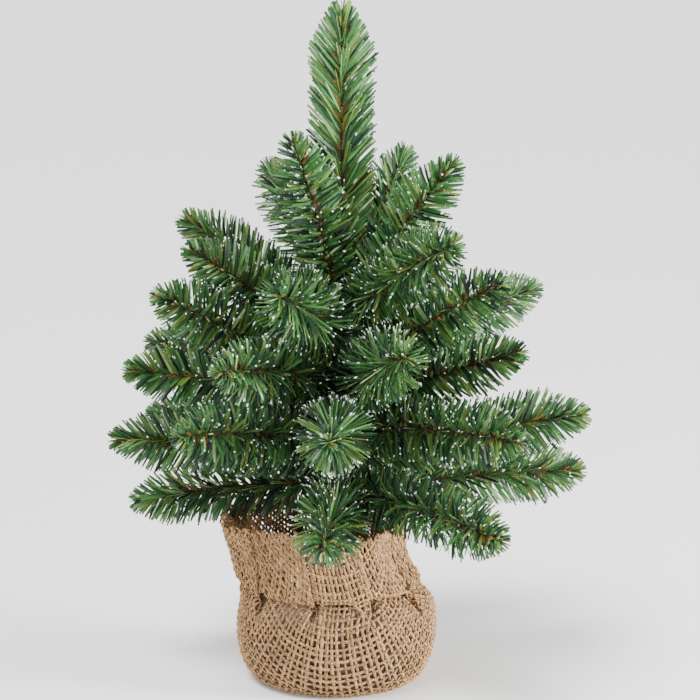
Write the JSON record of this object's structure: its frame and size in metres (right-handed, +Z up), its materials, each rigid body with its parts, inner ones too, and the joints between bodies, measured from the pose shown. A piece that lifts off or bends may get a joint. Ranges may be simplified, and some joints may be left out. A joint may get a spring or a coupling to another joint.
{
  "type": "artificial tabletop tree",
  "caption": "Small artificial Christmas tree with frosted green needle branches that bend at the trunk, standing in a weighted burlap sack gathered at the neck",
  "frame": {"origin": "on the trunk's axis, at the sack's flat underside", "axes": "+Z up along the trunk, +X to the right, the front faces -Y"},
  "size_m": [0.2509, 0.2336, 0.348],
  "materials": {
    "needles": "cut PVC needles in mixed greens, brown at the roots, with white frost on the tips",
    "jute": "open plain-woven burlap, unbleached",
    "twine": "twisted jute",
    "cup": "thin moulded plastic",
    "cement": "cast, rough",
    "steel": "drawn wire",
    "tape": "wound PVC tape"
  },
  "bodies": {
    "base": {"burlap_sack": "jute", "neck_tie": "twine", "weight_cup": "cup", "cement_weight": "cement", "trunk_rod": "steel", "trunk_wrap": "tape", "leader": "needles"},
    "branch_01": {"branch_01": "needles"},
    "branch_02": {"branch_02": "needles"},
    "branch_03": {"branch_03": "needles"},
    "branch_04": {"branch_04": "needles"},
    "branch_05": {"branch_05": "needles"},
    "branch_06": {"branch_06": "needles"},
    "branch_07": {"branch_07": "needles"},
    "branch_08": {"branch_08": "needles"},
    "branch_09": {"branch_09": "needles"},
    "branch_10": {"branch_10": "needles"},
    "branch_11": {"branch_11": "needles"},
    "branch_12": {"branch_12": "needles"},
    "branch_13": {"branch_13": "needles"},
    "branch_14": {"branch_14": "needles"},
    "branch_15": {"branch_15": "needles"},
    "branch_16": {"branch_16": "needles"},
    "branch_17": {"branch_17": "needles"},
    "branch_18": {"branch_18": "needles"},
    "branch_19": {"branch_19": "needles"},
    "branch_20": {"branch_20": "needles"},
    "branch_21": {"branch_21": "needles"},
    "branch_22": {"branch_22": "needles"},
    "branch_23": {"branch_23": "needles"},
    "branch_24": {"branch_24": "needles"},
    "branch_25": {"branch_25": "needles"},
    "branch_26": {"branch_26": "needles"},
    "branch_27": {"branch_27": "needles"},
    "branch_28": {"branch_28": "needles"},
    "branch_29": {"branch_29": "needles"},
    "branch_30": {"branch_30": "needles"},
    "branch_31": {"branch_31": "needles"},
    "branch_32": {"branch_32": "needles"},
    "branch_33": {"branch_33": "needles"}
  },
  "joints": [
    {"name": "branch_01_bend", "type": "hinge", "parent": "base", "child": "branch_01", "pos_m": [0.00583, 0.00178, 0.096], "axis": [0.2924, -0.9563, 0], "range_deg": [-5, 55]},
    {"name": "branch_02_bend", "type": "hinge", "parent": "base", "child": "branch_02", "pos_m": [0.00106, 0.00601, 0.096], "axis": [0.9848, -0.1736, 0], "range_deg": [-5, 55]},
    {"name": "branch_03_bend", "type": "hinge", "parent": "base", "child": "branch_03", "pos_m": [-0.00597, 0.00127, 0.102], "axis": [0.2079, 0.9781, 0], "range_deg": [-5, 65]},
    {"name": "branch_04_bend", "type": "hinge", "parent": "base", "child": "branch_04", "pos_m": [-0.00053, -0.00608, 0.099], "axis": [-0.9962, 0.0872, 0], "range_deg": [-5, 20]},
    {"name": "branch_05_bend", "type": "hinge", "parent": "base", "child": "branch_05", "pos_m": [0.0035, -0.005, 0.099], "axis": [-0.8192, -0.5736, 0], "range_deg": [-5, 60]},
    {"name": "branch_06_bend", "type": "hinge", "parent": "base", "child": "branch_06", "pos_m": [-0.00392, 0.00467, 0.111], "axis": [0.766, 0.6428, 0], "range_deg": [-10, 55]},
    {"name": "branch_07_bend", "type": "hinge", "parent": "base", "child": "branch_07", "pos_m": [0.0061, -0.00021, 0.114], "axis": [-0.0349, -0.9994, 0], "range_deg": [-10, 45]},
    {"name": "branch_08_bend", "type": "hinge", "parent": "base", "child": "branch_08", "pos_m": [-0.00609, -0.00032, 0.117], "axis": [-0.0523, 0.9986, 0], "range_deg": [-10, 55]},
    {"name": "branch_09_bend", "type": "hinge", "parent": "base", "child": "branch_09", "pos_m": [-0.00553, 0.00258, 0.12], "axis": [0.4226, 0.9063, 0], "range_deg": [-10, 55]},
    {"name": "branch_10_bend", "type": "hinge", "parent": "base", "child": "branch_10", "pos_m": [-0.00392, -0.00467, 0.126], "axis": [-0.766, 0.6428, 0], "range_deg": [-10, 50]},
    {"name": "branch_11_bend", "type": "hinge", "parent": "base", "child": "branch_11", "pos_m": [0.00392, 0.00467, 0.129], "axis": [0.766, -0.6428, 0], "range_deg": [-10, 45]},
    {"name": "branch_12_bend", "type": "hinge", "parent": "base", "child": "branch_12", "pos_m": [-0.00209, 0.00573, 0.129], "axis": [0.9397, 0.342, 0], "range_deg": [-10, 45]},
    {"name": "branch_13_bend", "type": "hinge", "parent": "base", "child": "branch_13", "pos_m": [-0.00032, -0.00609, 0.129], "axis": [-0.9986, 0.0523, 0], "range_deg": [-10, 50]},
    {"name": "branch_14_bend", "type": "hinge", "parent": "base", "child": "branch_14", "pos_m": [0.00431, -0.00431, 0.132], "axis": [-0.7071, -0.7071, 0], "range_deg": [-10, 55]},
    {"name": "branch_15_bend", "type": "hinge", "parent": "base", "child": "branch_15", "pos_m": [0.00573, -0.00209, 0.141], "axis": [-0.342, -0.9397, 0], "range_deg": [-10, 35]},
    {"name": "branch_16_bend", "type": "hinge", "parent": "base", "child": "branch_16", "pos_m": [-0.00594, -0.00137, 0.144], "axis": [-0.225, 0.9744, 0], "range_deg": [-10, 45]},
    {"name": "branch_17_bend", "type": "hinge", "parent": "base", "child": "branch_17", "pos_m": [-0.005, 0.0035, 0.147], "axis": [0.5736, 0.8192, 0], "range_deg": [-10, 50]},
    {"name": "branch_18_bend", "type": "hinge", "parent": "base", "child": "branch_18", "pos_m": [-0.00074, 0.00605, 0.15], "axis": [0.9925, 0.1219, 0], "range_deg": [-10, 35]},
    {"name": "branch_19_bend", "type": "hinge", "parent": "base", "child": "branch_19", "pos_m": [-0.00487, -0.00367, 0.15], "axis": [-0.6018, 0.7986, 0], "range_deg": [-10, 30]},
    {"name": "branch_20_bend", "type": "hinge", "parent": "base", "child": "branch_20", "pos_m": [0.00178, -0.00583, 0.15], "axis": [-0.9563, -0.2924, 0], "range_deg": [-10, 40]},
    {"name": "branch_21_bend", "type": "hinge", "parent": "base", "child": "branch_21", "pos_m": [-0.00305, -0.00528, 0.156], "axis": [-0.866, 0.5, 0], "range_deg": [-10, 45]},
    {"name": "branch_22_bend", "type": "hinge", "parent": "base", "child": "branch_22", "pos_m": [0.00517, 0.00323, 0.159], "axis": [0.5299, -0.848, 0], "range_deg": [-10, 40]},
    {"name": "branch_23_bend", "type": "hinge", "parent": "base", "child": "branch_23", "pos_m": [0.005, -0.0035, 0.159], "axis": [-0.5736, -0.8192, 0], "range_deg": [-10, 25]},
    {"name": "branch_24_bend", "type": "hinge", "parent": "base", "child": "branch_24", "pos_m": [0.00258, 0.00553, 0.162], "axis": [0.9063, -0.4226, 0], "range_deg": [-10, 35]},
    {"name": "branch_25_bend", "type": "hinge", "parent": "base", "child": "branch_25", "pos_m": [-0.00553, -0.00258, 0.171], "axis": [-0.4226, 0.9063, 0], "range_deg": [-10, 20]},
    {"name": "branch_26_bend", "type": "hinge", "parent": "base", "child": "branch_26", "pos_m": [-0.00178, -0.00583, 0.177], "axis": [-0.9563, 0.2924, 0], "range_deg": [-10, 35]},
    {"name": "branch_27_bend", "type": "hinge", "parent": "base", "child": "branch_27", "pos_m": [-0.00597, 0.00127, 0.18], "axis": [0.2079, 0.9781, 0], "range_deg": [-10, 20]},
    {"name": "branch_28_bend", "type": "hinge", "parent": "base", "child": "branch_28", "pos_m": [0.00085, 0.00604, 0.183], "axis": [0.9903, -0.1392, 0], "range_deg": [-10, 30]},
    {"name": "branch_29_bend", "type": "hinge", "parent": "base", "child": "branch_29", "pos_m": [0.00277, -0.00543, 0.189], "axis": [-0.891, -0.454, 0], "range_deg": [-10, 35]},
    {"name": "branch_30_bend", "type": "hinge", "parent": "base", "child": "branch_30", "pos_m": [0.00392, 0.00467, 0.192], "axis": [0.766, -0.6428, 0], "range_deg": [-10, 15]},
    {"name": "branch_31_bend", "type": "hinge", "parent": "base", "child": "branch_31", "pos_m": [0.00589, -0.00158, 0.195], "axis": [-0.2588, -0.9659, 0], "range_deg": [-10, 20]},
    {"name": "branch_32_bend", "type": "hinge", "parent": "base", "child": "branch_32", "pos_m": [-0.00305, 0.00528, 0.198], "axis": [0.866, 0.5, 0], "range_deg": [-10, 20]},
    {"name": "branch_33_bend", "type": "hinge", "parent": "base", "child": "branch_33", "pos_m": [-0.00332, -0.00512, 0.201], "axis": [-0.8387, 0.5446, 0], "range_deg": [-10, 10]}
  ]
}
